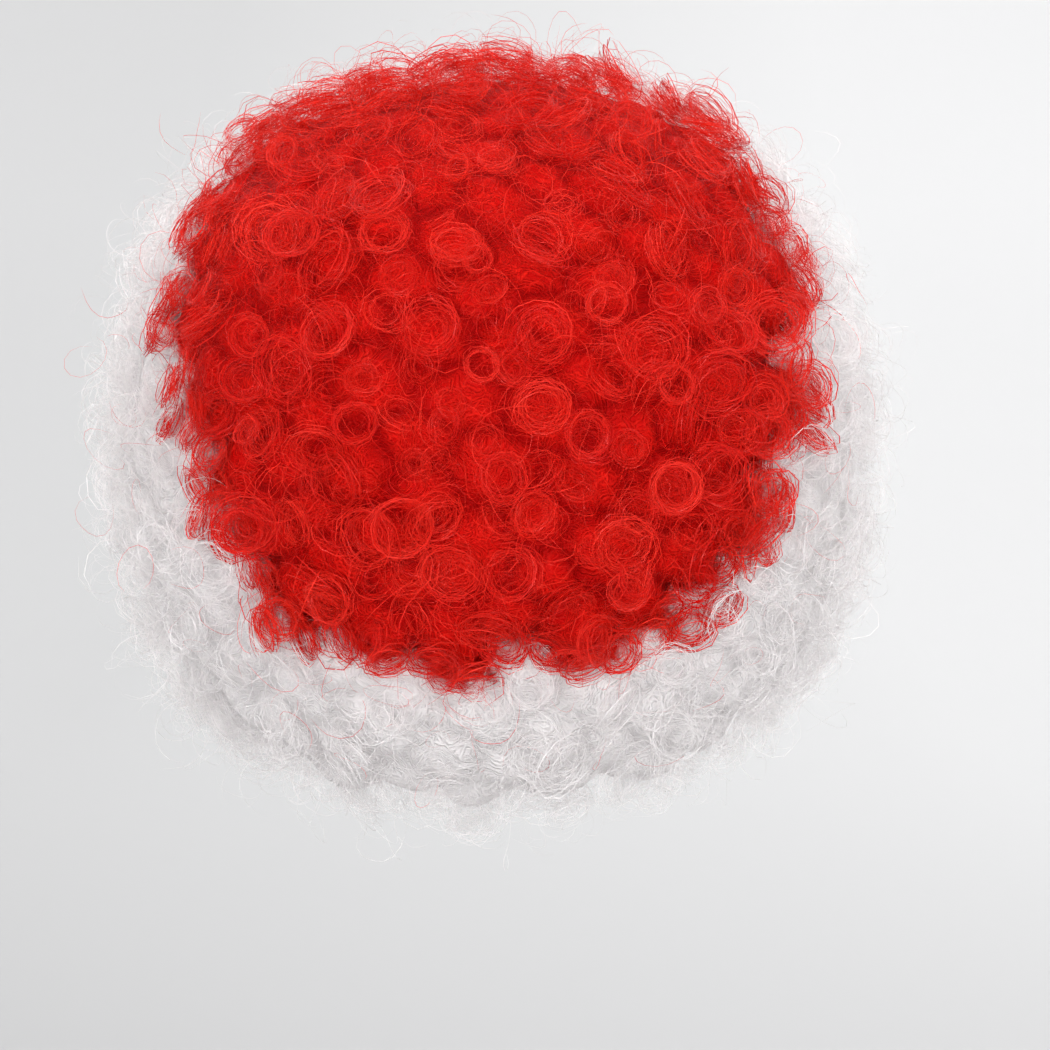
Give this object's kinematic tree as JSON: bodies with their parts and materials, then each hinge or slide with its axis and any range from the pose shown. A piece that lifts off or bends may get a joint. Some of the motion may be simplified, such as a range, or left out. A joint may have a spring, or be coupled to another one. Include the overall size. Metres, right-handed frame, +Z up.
{
  "type": "afro wig",
  "caption": "Round afro wig of short ringlets, red over the crown and back with a white surround, on an open stretch-net cap.",
  "frame": {"origin": "top of the inside of the cap, where the crown of the head sits", "axes": "+Z up, the face looks along -Y, the nape is at +Y, the wearer's left is +X"},
  "size_m": [0.2938, 0.3037, 0.2851],
  "materials": {
    "cap_net": "matte stretch net with a sewn elastic hem",
    "red_hair": "satin synthetic fibre, curled",
    "white_hair": "satin synthetic fibre, curled"
  },
  "bodies": {
    "root": {"wig_cap": "cap_net", "crown_hair": "red_hair", "surround_hair": "white_hair"}
  },
  "joints": []
}
